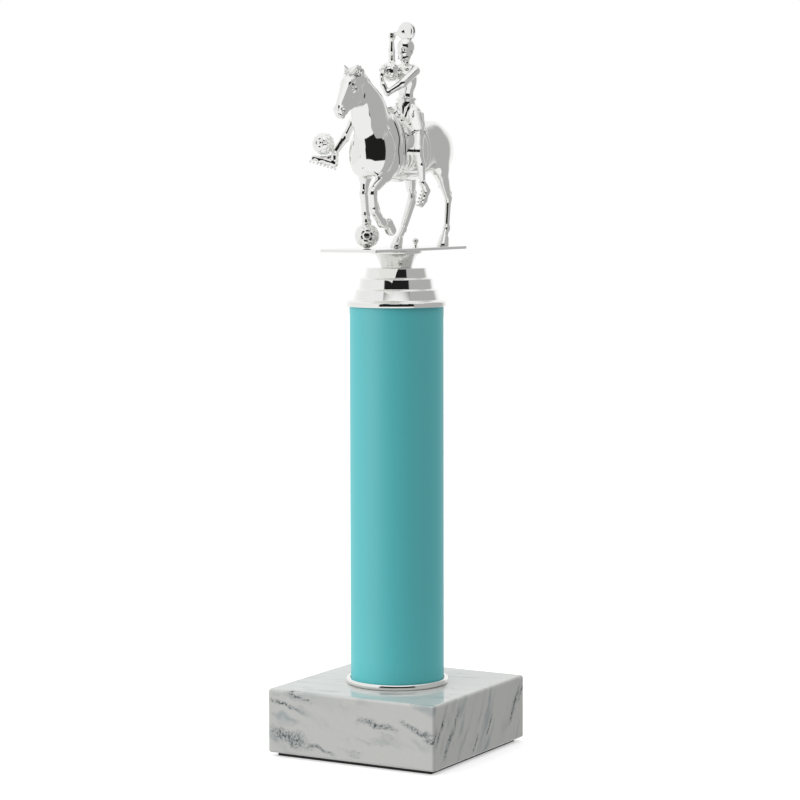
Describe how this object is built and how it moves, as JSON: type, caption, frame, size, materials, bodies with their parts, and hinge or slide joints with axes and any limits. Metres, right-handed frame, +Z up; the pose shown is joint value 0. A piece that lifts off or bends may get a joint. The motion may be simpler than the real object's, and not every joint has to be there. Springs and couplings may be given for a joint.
{
  "type": "column trophy",
  "caption": "Award trophy: silver riding figure with sport balls on a stepped cap, matt turquoise column and square marble base, held by a central rod.",
  "frame": {"origin": "on the column's axis, at the underside of the base pad, where the trophy rests", "axes": "+Z up along the column; the horse faces -Y; +X is the horse's and the rider's left side"},
  "size_m": [0.1, 0.1096, 0.3848],
  "materials": {
    "white_marble": "polished, grey veins",
    "black_pad": "matt foam rubber",
    "turquoise_tube": "matt turquoise",
    "silver_plate": "bright silver plate",
    "zinc_steel": "bright zinc plate",
    "brass_insert": "machined",
    "white_plug": "moulded"
  },
  "bodies": {
    "root": {"base_nut": "zinc_steel", "base_pad": "black_pad", "base_washer": "zinc_steel", "column_tube": "turquoise_tube", "far_arm": "silver_plate", "far_boot": "silver_plate", "far_foreleg": "silver_plate", "far_hindleg": "silver_plate", "far_leg": "silver_plate", "figure_plate": "silver_plate", "figure_stem": "silver_plate", "girth": "silver_plate", "held_ball": "silver_plate", "hoof_ball": "silver_plate", "horse_body": "silver_plate", "horse_mane": "silver_plate", "horse_tail": "silver_plate", "kick_ball": "silver_plate", "lower_centering_plug": "white_plug", "lower_trim_ring": "silver_plate", "marble_base": "white_marble", "near_arm": "silver_plate", "near_boot": "silver_plate", "near_foreleg": "silver_plate", "near_hindleg": "silver_plate", "near_leg": "silver_plate", "rider_cap": "silver_plate", "rider_head": "silver_plate", "rider_shorts": "silver_plate", "rider_torso": "silver_plate", "round_bat": "silver_plate", "saddle_cloth": "silver_plate", "stem_insert": "brass_insert", "stepped_cap": "silver_plate", "tee_ball": "silver_plate", "tee_peg": "silver_plate", "threaded_rod": "zinc_steel", "upper_centering_plug": "white_plug"}
  },
  "joints": []
}
